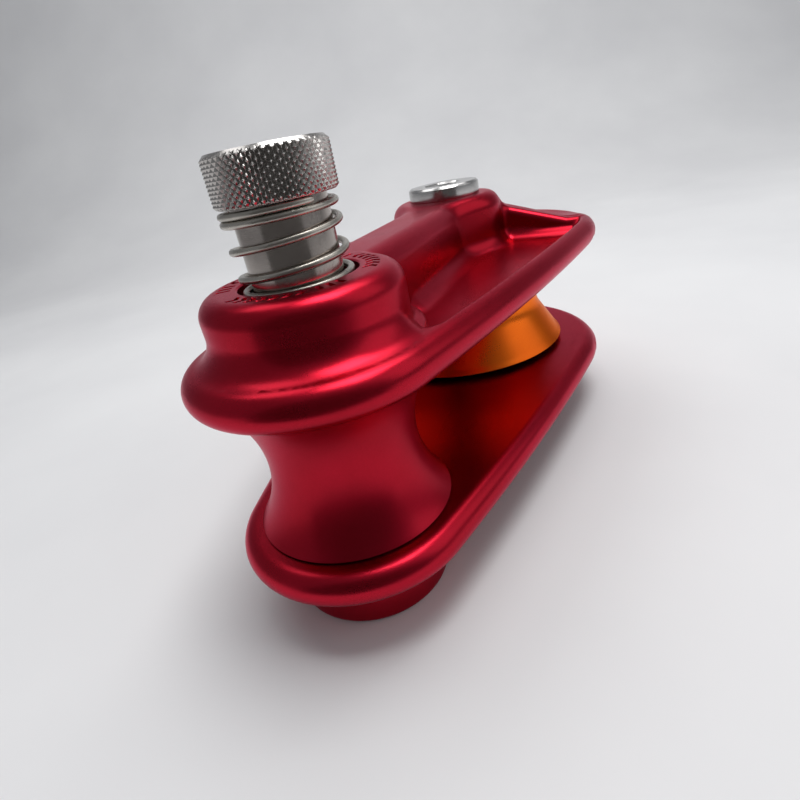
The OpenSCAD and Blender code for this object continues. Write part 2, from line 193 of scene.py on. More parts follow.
def contour(field, low, high, step):
    """Points, quads and corner normals of field = 0, with its sharp edges kept."""
    low = np.asarray(low, float) - LATTICE_SHIFT * step
    counts = np.ceil((np.asarray(high, float) + LATTICE_PAD * step - low) / step).astype(int) + 1
    axes = [low[a] + step * np.arange(counts[a]) for a in range(3)]
    inside = np.empty(counts, bool)
    for i in range(0, counts[0], SLAB):
        grid = np.meshgrid(axes[0][i:i + SLAB], axes[1], axes[2], indexing="ij")
        inside[i:i + SLAB] = field(*grid) < 0
    cells = counts - 1
    strides = np.array([cells[1] * cells[2], cells[2], 1])
    ids, hits, normals, quads = [], [], [], []
    for a in range(3):
        b, c = (a + 1) % 3, (a + 2) % 3
        here = np.moveaxis(inside, a, 0)
        change = np.moveaxis(here[:-1] != here[1:], 0, a)
        at = np.stack(np.nonzero(change), 1)
        solid_first = inside[tuple(at.T)]
        p = low + step * at
        near, far = np.zeros(len(at)), np.full(len(at), step)
        for _ in range(HALVINGS):
            middle = (near + far) / 2
            q = p.copy()
            q[:, a] += middle
            same = (field(q[:, 0], q[:, 1], q[:, 2]) < 0) == solid_first
            near, far = np.where(same, middle, near), np.where(same, far, middle)
        p[:, a] += (near + far) / 2
        n = unit(gradient(field, p))
        around = []
        for db, dc in ((-1, -1), (0, -1), (0, 0), (-1, 0)):
            cell = at.copy()
            cell[:, b] += db
            cell[:, c] += dc
            around.append(cell @ strides)
            ids.append(around[-1])
            hits.append(p)
            normals.append(n)
        quad = np.stack(around, 1)
        quads.append(np.where(solid_first[:, None], quad, quad[:, ::-1]))
    ids, hits = np.concatenate(ids), np.concatenate(hits)
    normals, quads = np.concatenate(normals), np.concatenate(quads)
    used, index = np.unique(ids, return_inverse=True)
    m = len(used)

    def total(w):
        return np.bincount(index, w, m)

    number = total(np.ones(len(ids)))
    mass = np.stack([total(hits[:, a]) for a in range(3)], 1) / number[:, None]
    mean = np.stack([total(normals[:, a]) for a in range(3)], 1)
    along = (normals * hits).sum(1)
    ata = np.empty((m, 3, 3))
    for a in range(3):
        for b in range(3):
            ata[:, a, b] = total(normals[:, a] * normals[:, b])
    atb = np.stack([total(normals[:, a] * along) for a in range(3)], 1)
    rhs = atb - np.einsum("nij,nj->ni", ata, mass)
    shift = np.linalg.solve(ata + STEADY * np.eye(3), rhs[:, :, None])[:, :, 0]
    length = np.linalg.norm(shift, axis=1, keepdims=True)
    verts = mass + shift * np.minimum(1, STRAY * step / np.maximum(length, 1e-9))
    crease = np.linalg.norm(mean, axis=1) / number < CREASE
    for _ in range(2):
        g = gradient(field, verts)
        f = field(verts[:, 0], verts[:, 1], verts[:, 2])
        move = g * (f / np.maximum((g * g).sum(1), 0.2))[:, None]
        move[crease & (np.abs(f) < 0.06)] = 0
        verts = verts - np.clip(move, -0.5 * step, 0.5 * step)
    quads = np.searchsorted(used, quads)
    corner = unit(gradient(field, verts))[quads]
    centre = verts[quads].mean(1, keepdims=True)
    sharp = crease[quads]
    probe = (verts[quads] + 0.35 * (centre - verts[quads]))[sharp]
    corner[sharp] = unit(gradient(field, probe))
    return verts, quads, corner.reshape(-1, 3)


# ---------------------------------------------------------------- distance fields


def both(a, b, r):
    """Where both fields are solid, with the edge between them rounded by r."""
    return np.minimum(-r, np.maximum(a, b)) + np.hypot(
        np.maximum(a + r, 0), np.maximum(b + r, 0)
    )


def either(a, b, r):
    """Where either field is solid, with a fillet of radius r between them."""
    return -both(-a, -b, r)


def blend_in(v, start, end):
    """Rises smoothly from 0 at start to 1 at end."""
    t = np.clip((v - start) / (end - start), 0, 1)
    return t * t * (3 - 2 * t)


# flank arcs, tangent to the nose and the tail
FLANK_R = 850
NOSE_D, TAIL_D = FLANK_R - NOSE_R, FLANK_R - TAIL_R
FLANK_Y = (NOSE_D ** 2 - TAIL_D ** 2 + PIN_TO_AXLE ** 2) / (2 * PIN_TO_AXLE)
FLANK_X = -math.sqrt(NOSE_D ** 2 - FLANK_Y ** 2)
NOSE_TURN = math.atan2(-FLANK_Y, -FLANK_X)
TAIL_TURN = math.atan2(PIN_TO_AXLE - FLANK_Y, -FLANK_X)

POCKET_DEPTH = 5
RIM_W = 4.6
POCKET_NOSE_R = 23.0
POCKET_START = 2.7
RIB_BASE, RIB_TOP = 11.0, 9.0
RIB_DROP = 0.6
FOOTING = 1.0                        # how far from the inner face the bosses and ribs begin
COVE_TUBE = 6.1                      # concave sweep at the foot of the upper nose boss
COVE_RECESS, COVE_SINK = 0.03, 0.35  # how far it lies inside the boss and under the plate's top
COVE_SHORT, COVE_ROUND = 0.5, 1.3    # where it ends, short of the tube's axis, and its lip
COVE_FADE, COVE_START, COVE_END = 3.0, -2, 12
TAIL_LOWER = 1.2                     # how much lower the upper cheek's rim lies at the tail
CROSS_BACK, CROSS_W, CROSS_REACH = 4.5, 8.0, 38.5
NECK_FILLET, CROSS_FILLET, NOSE_FILLET = 6.0, 3.5, 1.5
WALL_ROUND = 0.9                     # rounding where a pocket's wall meets the plate
UPPER_NOSE_R, UPPER_TAIL_R = 20.3, 18.3
UPPER_EDGE, UPPER_NOSE_EDGE = 4.6, 4.0
LOWER_BOSS_R, LOWER_EDGE, LOWER_NOSE_EDGE = 18.9, 2.4, 1.6

# bores and recesses
BUSH_BORE_R, AXLE_R = 10.5, 8
SEAT_R = (bush_high[0] - bush_low[0]) / 2
SEAT_DROP = 0.8                      # thickness of the bush's flange under the spring
SPIGOT_R, SPIGOT_DEEP = 13, 5
MARK_OUT, MARK_BED = 16.2, 1.2       # the groove that the engraved ring fills
SOCKET_R, SOCKET_DEEP, SOCKET_BORE_R = 14, 12, 13
CLIP_R, CLIP_MID, CLIP_HALF = 15, 12.75, 0.75
SWING_BORE_R, NUT_R, NUT_DEEP = 13, 15.8, 12
MOUTH = 0.9                          # chamfer at the bores' lower ends
SLANT = 0.707                        # turns a 45 degree cone's field into a distance


def outline(x, y):
    """Distance to a cheek's outline, negative inside, from the pin's axis."""
    x = np.abs(x)
    turn = np.arctan2(y - FLANK_Y, x - FLANK_X)
    nose = np.hypot(x, y) - NOSE_R
    tail = np.hypot(x, y - PIN_TO_AXLE) - TAIL_R
    flank = np.hypot(x - FLANK_X, y - FLANK_Y) - FLANK_R
    return np.where(turn < NOSE_TURN, nose, np.where(turn > TAIL_TURN, tail, flank))


def blank(x, y, z):
    """The plate with its full round edge, before its pockets."""
    return np.hypot(np.maximum(outline(x, y) + BEAD_R, 0), z - BEAD_R) - BEAD_R


def pockets(x, y, z):
    """The two pockets, one on each side of the rib, as what is cut away."""
    nose_wall = np.maximum(POCKET_START - y, POCKET_NOSE_R - np.hypot(x, y))
    plan = both(outline(x, y) + RIM_W, nose_wall, 3.0)
    plan = np.maximum(plan, y - PIN_TO_AXLE - CROSS_BACK - CROSS_W / 2)
    return both(plan, PLATE_T - POCKET_DEPTH - z, 1.0)


def cove(x, y, z, nose_r, tube):
    """A concave skirt round the front of the nose boss, which dies away along the sides."""
    r = np.hypot(x, y)
    out, up = nose_r + tube - COVE_RECESS, PLATE_T - COVE_SINK + tube
    arc = tube - np.hypot(r - out, z - up)
    skirt = both(arc, r - out + COVE_SHORT, COVE_ROUND)
    skirt = np.maximum(skirt, np.maximum(z - up, BEAD_R - z))
    return skirt + COVE_FADE * blend_in(y, COVE_START, COVE_END)


def cross_rib(x, y, z, boss_h):
    """The rib across the axle, which slopes from the boss down to the rim on each side."""
    ridge = PLATE_T + boss_h - RIB_DROP
    slope = (ridge - PLATE_T) / CROSS_REACH
    roof = (z - np.maximum(ridge - slope * np.abs(x), PLATE_T - 0.2)) / math.hypot(1, slope)
    sides = np.abs(y - PIN_TO_AXLE - CROSS_BACK - CROSS_W / 2) - CROSS_W / 2
    return np.maximum(both(sides, roof, 2.0), outline(x, y) + RIM_W - 1)


def foot_fillet(x, y, z, coved):
    """Radius of the fillet where the bosses and ribs meet the plate, from place to place."""
    fillet = 3.2 + 1.4 * blend_in(y, 12, 30)
    if coved:
        fillet = 0.6 + 4.0 * blend_in(y, -2, 14)
        fillet = fillet * (1 - 0.6 * blend_in(np.hypot(x, y), 32, 25))
    near_rim = blend_in(np.abs(x), 24, 34) * blend_in(z, PLATE_T - 3.5, PLATE_T - 0.5)
    fillet = fillet * (1 - 0.87 * near_rim * blend_in(y, PIN_TO_AXLE - 8, PIN_TO_AXLE))
    return np.maximum(fillet * blend_in(z, 0.5, 2.8), 0.02)


def cheek(x, y, z, boss_h, nose_r, tail_r, edge_r, nose_edge, tube):
    """A cheek lying inner face down at z = 0, before its bores, from the pin's axis."""
    hollow = pockets(x, y, z)
    plate = both(blank(x, y, z), -hollow, WALL_ROUND)
    top = PLATE_T + boss_h
    lean = math.atan((RIB_BASE - RIB_TOP) / (boss_h + POCKET_DEPTH))
    side = (np.abs(x) - RIB_BASE) * math.cos(lean) + (z - PLATE_T + POCKET_DEPTH) * math.sin(lean)
    tail = np.hypot(x, y - PIN_TO_AXLE)
    drop = RIB_DROP * blend_in(tail, tail_r - 3, tail_r + 5)
    spine = np.maximum(side, np.maximum(-y, y - PIN_TO_AXLE))
    spine = either(spine, tail - tail_r, NECK_FILLET)
    spine = both(spine, z - top + drop, edge_r)
    spine = either(spine, cross_rib(x, y, z, boss_h), CROSS_FILLET)
    nose = both(np.hypot(x, y) - nose_r, z - top, nose_edge)
    bosses = np.maximum(either(spine, nose, NOSE_FILLET), FOOTING - z)
    solid = either(plate, bosses, foot_fillet(x, y, z, tube > 0))
    if tube:
        solid = np.minimum(solid, both(cove(x, y, z, nose_r, tube), -hollow, WALL_ROUND))
    return np.maximum(solid, z - top)


def top_field(x, y, z):
    """The upper cheek with its bores."""
    px, py = x - PIN[0], y - PIN[1]
    h = z - UP_INNER
    lower = TAIL_LOWER * blend_in(py, PIN_TO_AXLE + 6, PIN_TO_AXLE + 22)
    lower = lower * blend_in(np.hypot(px, py - PIN_TO_AXLE), 22, 36)
    f = cheek(px, py, h + lower * np.clip(h / PLATE_T, 0, 1), UPPER_BOSS_H,
              UPPER_NOSE_R, UPPER_TAIL_R, UPPER_EDGE, UPPER_NOSE_EDGE, COVE_TUBE)
    r = np.hypot(px, py)
    cuts = [
        r - BUSH_BORE_R,
        np.maximum(r - SEAT_R, spring_low[2] - SEAT_DROP - z),
        np.maximum(r - MARK_OUT, BOSS_TOP - MARK_BED - z),
        np.maximum(r - SPIGOT_R, h - SPIGOT_DEEP),
        np.hypot(px, py - PIN_TO_AXLE) - AXLE_R,
    ]
    for cut in cuts:
        f = np.maximum(f, -cut)
    return f


def swing_field(x, y, z):
    """The lower cheek with its bores."""
    px, py = x - PIN[0], y - PIN[1]
    h = LOW_INNER - z
    f = cheek(px, py, h, LOWER_BOSS_H,
              LOWER_BOSS_R, LOWER_BOSS_R, LOWER_EDGE, LOWER_NOSE_EDGE, 0)
    r = np.hypot(px, py)
    s = np.hypot(px, py - PIN_TO_AXLE)
    cuts = [
        np.maximum(r - SOCKET_R, h - SOCKET_DEEP),
        r - SOCKET_BORE_R,
        (r - SOCKET_BORE_R + z - MOUTH) * SLANT,
        np.maximum(r - CLIP_R, np.abs(h - CLIP_MID) - CLIP_HALF),
        s - SWING_BORE_R,
        np.maximum(s - NUT_R, z - NUT_DEEP),
        (s - NUT_R + z - MOUTH) * SLANT,
    ]
    for cut in cuts:
        f = np.maximum(f, -cut)
    return f


# ---------------------------------------------------------------- finishes


class Finish:
    """A Principled material and the small node network that feeds it."""

    def __init__(self, name, **sockets):
        self.material = bpy.data.materials.new(name)
        self.material.use_nodes = True
        self.tree = self.material.node_tree
        self.shader = self.tree.nodes["Principled BSDF"]
        self.coords = self.add("ShaderNodeTexCoord").outputs["Object"]
        for key, value in sockets.items():
            self.shader.inputs[key.replace("_", " ")].default_value = value

    def add(self, kind, **settings):
        node = self.tree.nodes.new(kind)
        for key, value in settings.items():
            setattr(node, key, value)
        return node

    def link(self, source, target):
        self.tree.links.new(source, target)

    def placed(self, scale=(1, 1, 1), offset=(0, 0, 0)):
        node = self.add("ShaderNodeMapping")
        node.inputs["Location"].default_value = offset
        node.inputs["Scale"].default_value = scale
        self.link(self.coords, node.inputs["Vector"])
        return node.outputs["Vector"]

    def noise(self, size, detail=2.0, vector=None):
        """Noise whose features are about size millimetres across."""
        node = self.add("ShaderNodeTexNoise")
        node.inputs["Scale"].default_value = 1 / (size * MM)
        node.inputs["Detail"].default_value = detail
        self.link(vector or self.coords, node.inputs["Vector"])
        return node.outputs["Fac"]

    def between(self, factor, low, high, f0=0.0, f1=1.0):
        node = self.add("ShaderNodeMapRange")
        for key, value in (("From Min", f0), ("From Max", f1), ("To Min", low), ("To Max", high)):
            node.inputs[key].default_value = value
        self.link(factor, node.inputs["Value"])
        return node.outputs["Result"]

    def maths(self, operation, a, b=None, value=None):
        node = self.add("ShaderNodeMath", operation=operation)
        self.link(a, node.inputs[0])
        if b is not None:
            self.link(b, node.inputs[1])
        if value is not None:
            node.inputs[1].default_value = value
        return node.outputs[0]

    def tint(self, factor, stops):
        node = self.add("ShaderNodeValToRGB")
        ramp = node.color_ramp
        while len(ramp.elements) < len(stops):
            ramp.elements.new(0.5)
        for element, (place, colour) in zip(ramp.elements, stops):
            element.position = place
            element.color = (*colour, 1)
        self.link(factor, node.inputs["Fac"])
        return node.outputs["Color"]

    def bump(self, height, depth, strength, under=None):
        """A bump of about depth millimetres."""
        node = self.add("ShaderNodeBump")
        node.inputs["Strength"].default_value = strength
        node.inputs["Distance"].default_value = depth * MM
        self.link(height, node.inputs["Height"])
        if under is not None:
            self.link(under, node.inputs["Normal"])
        return node.outputs["Normal"]

    def rings(self, centre, size):
        """Fine concentric lines on flat turned faces, round a centre in millimetres."""
        flat = self.placed(scale=(1, 1, 0), offset=(-centre[0] * MM, -centre[1] * MM, 0))
        node = self.add("ShaderNodeVectorMath", operation="LENGTH")
        self.link(flat, node.inputs[0])
        line = self.add("ShaderNodeCombineXYZ")
        self.link(node.outputs["Value"], line.inputs["X"])
        return self.noise(size, 3.0, line.outputs["Vector"])


def anodised(name, deep, tone, bright, edge, rough, turned=False):
    """Dyed and sealed aluminium: satin grain and slight drifts of tone."""
    f = Finish(name, Metallic=1.0, Coat_Weight=0.16, Coat_Roughness=0.25, Coat_IOR=1.5,
               Specular_Tint=(*edge, 1))
    drift = f.noise(26, 3.0)
    fine = f.noise(0.55, 3.0)
    tone_mix = f.maths("ADD", f.maths("MULTIPLY", drift, value=0.8),
                       f.maths("MULTIPLY", fine, value=0.2))
    f.link(f.tint(tone_mix, ((0.34, deep), (0.5, tone), (0.68, bright))),
           f.shader.inputs["Base Color"])
    smear = f.noise(9, 4.0, f.placed(scale=(1, 0.35, 1)))
    grain = f.noise(0.3, 2.0)
    wear = f.maths("ADD", f.maths("MULTIPLY", smear, value=0.6),
                   f.maths("MULTIPLY", grain, value=0.4))
    f.link(f.between(wear, rough - 0.06, rough + 0.07, 0.3, 0.7), f.shader.inputs["Roughness"])
    normal = f.bump(f.noise(0.22, 2.0), 0.004, 0.8)
    if turned:
        lines = f.noise(0.32, 3.0, f.placed(scale=(0.004, 0.004, 1)))
        normal = f.bump(lines, 0.006, 0.7, normal)
    f.link(normal, f.shader.inputs["Normal"])
    return f.material


def polished(name, dark, light, rough, centre=None, lines=0.25, depth=0.003, spots=0.0):
    """Bare metal with fine turning lines, faint stains and fine scratches."""
    f = Finish(name, Metallic=1.0)
    stain = f.noise(5, 4.0)
    f.link(f.tint(stain, ((0.3, dark), (0.7, light))), f.shader.inputs["Base Color"])
    scratch = f.noise(0.5, 4.0, f.placed(scale=(0.12, 1, 1)))
    f.link(f.between(scratch, rough - 0.05, rough + 0.08, 0.3, 0.7),
           f.shader.inputs["Roughness"])
    turn = f.noise(lines, 3.0, f.placed(scale=(0.003, 0.003, 1)))
    normal = f.bump(turn, depth, 0.6)
    if centre is not None:
        normal = f.bump(f.rings(centre, lines), depth, 0.6, normal)
    if spots:
        normal = f.bump(f.noise(0.4, 2.0), spots, 0.6, normal)
    f.link(normal, f.shader.inputs["Normal"])
    return f.material


CRIMSON = ((0.37, 0.0027, 0.014), (0.42, 0.0038, 0.018), (0.48, 0.0052, 0.024),
           (1.0, 0.55, 0.65))
RED = anodised("anodised_crimson", *CRIMSON, 0.3)
RED_TURNED = anodised("anodised_crimson_turned", *CRIMSON, 0.33, True)
ORANGE = anodised("anodised_orange", (0.84, 0.135, 0.004), (0.90, 0.16, 0.006),
                  (0.95, 0.19, 0.01), (1.0, 0.6, 0.35), 0.3, True)
PIN_STEEL = polished("pin_stainless", (0.42, 0.37, 0.335), (0.52, 0.465, 0.425), 0.17,
                     PIN, 0.4, 0.0015)
KNOB_STEEL = polished("knob_stainless", (0.44, 0.42, 0.40), (0.56, 0.54, 0.52), 0.2,
                      None, 0.3, 0.001)
AXLE_STEEL = polished("axle_polished", (0.48, 0.47, 0.46), (0.58, 0.57, 0.56), 0.19, AXLE, 0.3)
SPRING_STEEL = polished("spring_wire", (0.38, 0.36, 0.32), (0.50, 0.47, 0.42), 0.3,
                        None, 0.4, 0.004, 0.01)
PLAIN_STEEL = polished("plain_steel", (0.50, 0.49, 0.47), (0.62, 0.61, 0.59), 0.26, AXLE)
# painted shade: this steel is coloured near black so that the pin bush's flange, seen in the
# counterbore under the spring, shows the shade of that recess; the other bushes and pins listed with
# it share the colour
SHADE_DARK_STEEL = polished("hardened_steel", (0.10, 0.10, 0.105), (0.17, 0.165, 0.16), 0.3,
                      PIN, 0.3, 0.004, 0.008)
BRONZE = polished("sintered_bronze", (0.42, 0.24, 0.09), (0.56, 0.34, 0.14), 0.36,
                  AXLE, 0.3, 0.004, 0.02)

# ---------------------------------------------------------------- cheeks
MARK_MID, MARK_HALF, MARK_DEEP = 14.7, 1.3, 0.6
CHEVRONS, CHEVRON_START, CHEVRON_PITCH = 7, 8, 9    # start and pitch in degrees
TICKS = (76, 84, 92)                 # degrees
RING_EDGE_W, RING_EDGE_H = 0.35, 0.25
FINE_STEP = 0.72


def engraving(u, v):
    """Distance into the nearest engraved stroke; u runs round the ring in degrees."""
    u = np.mod(u, 120) * math.radians(MARK_MID)
    gap = np.full(u.shape, 9.0)
    for k in range(CHEVRONS):
        at = math.radians(MARK_MID) * (CHEVRON_START + CHEVRON_PITCH * k)
        along = u - at - (MARK_HALF - np.abs(v)) * 0.75
        gap = np.minimum(gap, np.maximum(np.abs(along) * 0.8 - 0.38, np.abs(v) - MARK_HALF))
    for k in TICKS:
        at = math.radians(MARK_MID) * k
        gap = np.minimum(gap, np.maximum(np.abs(u - at) - 0.36, np.abs(v) - MARK_HALF))
    return gap


def mark_ring():
    """The ring of the upper boss's top that carries the engraved turn marks."""
    steps = 720
    around = np.arange(steps) * 360 / steps
    rings = [(np.full(steps, SEAT_R), BOSS_TOP - MARK_BED)]
    for r in np.linspace(SEAT_R, MARK_OUT, 31):
        cut = blend_in(engraving(around, np.full(steps, r - MARK_MID)), 0.08, -0.08)
        edge = min((r - SEAT_R) / RING_EDGE_W, 1.0)
        rings.append((np.full(steps, r), BOSS_TOP - MARK_DEEP * cut - RING_EDGE_H * (1 - edge)))
    rings.append((np.full(steps, MARK_OUT), BOSS_TOP - MARK_BED))
    return spin(rings[::-1], PIN, loop=True)


def join(*parts):
    """Several (points, faces, corner normals) as one mesh."""
    verts, faces, normals, count = [], [], [], 0
    for v, f, n in parts:
        verts.append(v)
        faces += [[i + count for i in face] for face in np.asarray(f).tolist()]
        normals.append(n)
        count += len(v)
    return np.concatenate(verts), faces, np.concatenate(normals)


def face_normals(verts, faces):
    """A flat normal for every corner of quads."""
    q = np.asarray(verts)[np.asarray(faces)]
    n = unit(np.cross(q[:, 2] - q[:, 0], q[:, 3] - q[:, 1]))
    return np.repeat(n, 4, axis=0)


ring_verts, ring_faces = mark_ring()
body = contour(top_field, top_low, top_high, FINE_STEP)
verts, faces, normals = join(body, (ring_verts, ring_faces, face_normals(ring_verts, ring_faces)))
put("top_cheek", verts, faces, RED, "frame", "top_plate", normals)
verts, faces, normals = contour(swing_field, swing_low, swing_high, FINE_STEP)
put("swing_cheek_plate", verts, faces, RED, "swing_cheek", "swing_plate", normals)

# ---------------------------------------------------------------- spool and sheave
SPOOL_R, WAIST_R = (spool_high[0] - spool_low[0]) / 2, 17
SPOOL_BORE_R = 9.05
spool_top = UP_INNER
spool_h = spool_top - spool_low[2]
sag = SPOOL_R - WAIST_R
arc_r = (spool_h ** 2 / 4 + sag ** 2) / (2 * sag)
arc = []
for h in np.linspace(-spool_h / 2 + 0.35, spool_h / 2 - 0.35, 49):
    arc.append((WAIST_R + arc_r - math.sqrt(arc_r ** 2 - h * h), spool_low[2] + spool_h / 2 + h))
profile = [(SPOOL_BORE_R, spool_low[2]), (SPOOL_R - 0.5, spool_low[2]),
           (SPOOL_R - 0.12, spool_low[2] + 0.12)]
profile += arc
profile += [(SPOOL_R - 0.12, spool_top - 0.12), (SPOOL_R - 0.5, spool_top),
            (SPIGOT_R, spool_top), (SPIGOT_R, spool_high[2]), (SPOOL_BORE_R, spool_high[2])]
verts, faces = lathe(profile, PIN, 256, loop=True)
put("waisted_spool", verts, faces, RED_TURNED, "frame", "sling_spool", angle=30)

SHEAVE_R, GROOVE_R, ROOT_R = (sheave_high[0] - sheave_low[0]) / 2, 28.2, 8
CONE = math.radians(32)
CONE_STEPS, ROOT_STEPS = 9, 12       # points down each flank, and down to the root
mid_z = (sheave_low[2] + sheave_high[2]) / 2
half_w = (sheave_high[2] - sheave_low[2]) / 2
lower = [
    (14, mid_z - half_w), (SHEAVE_R - 0.6, mid_z - half_w), (SHEAVE_R, mid_z - half_w + 0.5),
]
root_z, root_x = ROOT_R * math.sin(CONE), GROOVE_R + ROOT_R * (1 - math.cos(CONE))
reach = root_z + (SHEAVE_R - root_x) / math.tan(CONE)
groove = [(SHEAVE_R - 0.08, mid_z - min(reach, half_w - 0.75) - 0.1)]
for k in range(1, CONE_STEPS):
    t = k / CONE_STEPS
    groove.append((SHEAVE_R + (root_x - SHEAVE_R) * t, mid_z - reach + (reach - root_z) * t))
for k in range(2 * ROOT_STEPS + 1):
    a = CONE * (1 - k / ROOT_STEPS)
    groove.append((GROOVE_R + ROOT_R * (1 - math.cos(a)), mid_z - ROOT_R * math.sin(a)))
upper_half = [(r, 2 * mid_z - z) for r, z in (lower + groove[:CONE_STEPS])[::-1]]
verts, faces = lathe(lower + groove + upper_half, AXLE, 256, loop=True)
put("grooved_sheave", verts, faces, ORANGE, "sheave_wheel", "sheave", angle=25)

# ---------------------------------------------------------------- lock pin, knob and spring
PIN_R = 9
RECESS = 0.8                         # in the knob's underside, round the pin
profile = rounded([
    (0.5, pin_low[2]), (PIN_R - 1, pin_low[2]), (PIN_R, pin_low[2] + 1),
    (PIN_R, knob_low[2]), (PIN_R - 1, knob_low[2]), (PIN_R - 1, knob_low[2] + RECESS),
    (6, knob_low[2] + RECESS), (6, pin_high[2]), (0.5, pin_high[2]),
], [0, 0.2, 0.3, 0.1, 0.1, 0, 0, 0.1, 0])
verts, faces = lathe(profile, PIN, 192, (True, True))
put("lock_pin_shaft", verts, faces, PIN_STEEL, "pin_and_knob", "lock_pin",
    angle=30)

KNOB_R = (knob_high[0] - knob_low[0]) / 2
KNURL_CELLS, KNURL_DEEP, KNURL_LEAN, KNURL_STEPS = 48, 0.5, math.radians(48), 8
CHAMFER_TOP, CHAMFER_LOW = 0.9, 0.6
DIMPLE_FLOOR_R, DIMPLE_R, DIMPLE_DEEP = 3.2, 3.6, 0.35


def knurl_radius(angle, z):
    """Radius of the knob's side: rows of pyramids, turned away to chamfers at both ends."""
    shift = (z - knob_low[2]) * math.tan(KNURL_LEAN) / KNOB_R
    waves = [np.abs(2 * np.mod((angle + way * shift) * KNURL_CELLS / TAU, 1) - 1) for way in (-1, 1)]
    flat = 1 / KNURL_STEPS
    valley = np.maximum(np.maximum(*waves) - flat, 0) / (1 - flat)
    r = KNOB_R - KNURL_DEEP * valley
    r = np.minimum(r, KNOB_R - CHAMFER_TOP + (knob_high[2] - z))
    return np.minimum(r, KNOB_R - CHAMFER_LOW + (z - knob_low[2]))


def knurled():
    """The knob's side, its vertices on the knurl's own lattice, with a vertex in each cell."""
    low, high = knob_low[2], knob_high[2]
    around = KNURL_CELLS * KNURL_STEPS
    rise = TAU * KNOB_R / around / math.tan(KNURL_LEAN)
    levels = low + np.append(np.arange(0, high - low, rise), high - low)
    angle = TAU * np.arange(around) / around
    rings = [(np.full(around, DIMPLE_FLOOR_R), high - DIMPLE_DEEP), (np.full(around, DIMPLE_R), high),
             (np.full(around, KNOB_R - CHAMFER_TOP - 0.1), high)]
    rings += [(knurl_radius(angle, z), z) for z in levels[::-1]]
    rings += [(np.full(around, KNOB_R - 1.2), low), (np.full(around, KNOB_R - 1.3), low + RECESS),
              (np.full(around, PIN_R - 0.9), low + RECESS)]
    verts, faces = spin(rings[::-1], PIN, (False, True))
    first = 3 * around                    # the side starts above the three rings under it
    cells, rows = [], len(levels) - 1
    middle = angle + TAU / around / 2
    for i in range(rows):
        z = (levels[i] + levels[i + 1]) / 2
        r = knurl_radius(middle, z)
        centre = len(verts) + i * around + np.arange(around)
        cells.append((np.stack([PIN[0] + r * np.cos(middle), PIN[1] + r * np.sin(middle),
                                np.full(around, z)], 1), centre))
    side = set(range(first, first + rows * around))
    kept = [f for k, f in enumerate(faces) if k not in side]
    for k in sorted(side):
        f = faces[k]
        centre = int(cells[(k - first) // around][1][k % around])
        kept += [[f[n], f[(n + 1) % 4], centre] for n in range(4)]
    return np.concatenate([verts] + [points for points, _ in cells]), kept


verts, faces = knurled()
put("knurled_knob", verts, faces, KNOB_STEEL, "pin_and_knob", "pin_knob", angle=18)


def coiled():
    """The lock spring: a wire with closed coils at each end and open coils between."""
    wire_r, mean_r = 0.7, 10.4
    low_turns, open_turns, high_turns, closed_rise = 1.0, 2.3, 1.4, 1.42
    rise = knob_low[2] - spring_low[2] - 2 * wire_r
    open_rise = rise - closed_rise * (low_turns + high_turns)
    turns = low_turns + open_turns + high_turns
    per_turn, sides = 110, 16
    n = int(turns * per_turn)
    t = turns * np.arange(n + 1) / n
    ease = np.clip((t - low_turns) / open_turns, 0, 1)
    z = (np.minimum(t, low_turns) + np.maximum(t - low_turns - open_turns, 0)) * closed_rise
    z = z + open_rise * ease + spring_low[2] + wire_r
    a = math.radians(87) + TAU * t
    line = np.stack([PIN[0] + mean_r * np.cos(a), PIN[1] + mean_r * np.sin(a), z], 1)
    line[:, 0] -= 0.35 * blend_in(t, 0.6, turns - 0.8)    # the upper coils sit a little to one side
    tangent = unit(np.gradient(line, axis=0))
    out = unit(np.stack([np.cos(a), np.sin(a), np.zeros_like(a)], 1))
    up = unit(np.cross(tangent, out))
    out = np.cross(up, tangent)
    b = TAU * np.arange(sides) / sides
    to_tip = np.stack([t, turns - t]) * TAU * mean_r
    ends = 1 - 0.25 * blend_in(to_tip, 0.35, 0).sum(0)    # the wire's tips are rounded off
    verts = line[:, None] + wire_r * ends[:, None, None] * (
        np.cos(b)[None, :, None] * out[:, None] + np.sin(b)[None, :, None] * up[:, None])
    i, j = np.meshgrid(np.arange(n), np.arange(sides), indexing="ij")
    i, j = i.ravel() * sides, j.ravel()
    k = (j + 1) % sides
    faces = np.stack([i + j, i + k, i + sides + k, i + sides + j], 1).tolist()
    faces.append(list(range(sides))[::-1])
    faces.append([n * sides + q for q in range(sides)])
    return verts.reshape(-1, 3), faces


verts, faces = coiled()
spring = put("coil_spring", verts, faces, SPRING_STEEL, "frame", "lock_spring",
             angle=60)
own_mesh(spring)

# ---------------------------------------------------------------- axle bolt
HEAD_R, HEAD_H, HEX_AF = 11.8, axle_high[2] - BOSS_TOP, 10
HEX_MOUTH, HEX_FLOOR = 0.6, 4.6      # depths in the head's socket
STEPS = 192
turns = TAU * np.arange(STEPS) / STEPS
hex_r = HEX_AF / 2 / np.cos(np.mod(turns, TAU / 6) - TAU / 12)
low, high = axle_low[2], axle_high[2]
rings = [(np.full(STEPS, r), h) for r, h in rounded([
    (1.0, low), (AXLE_R - 1, low), (AXLE_R, low + 1), (AXLE_R, high - HEAD_H), (HEAD_R, high - HEAD_H),
    (HEAD_R, high - 0.7), (HEAD_R - 0.7, high), (7.2, high),
], [0, 0.1, 0.2, 0, 0.15, 0.25, 0.25, 0], 4)]
rings += [
    (hex_r * 0.35 + 4.45, high - 0.02), (hex_r + 0.02, high - 0.55), (hex_r, high - HEX_MOUTH),
    (hex_r, high - HEX_FLOOR), (hex_r * 0.4 + 2.4, high - 5),
]
verts, faces = spin(rings, AXLE, (True, True))
put("axle_socket_bolt", verts, faces, AXLE_STEEL, "frame", "axle_bolt",
    angle=22)

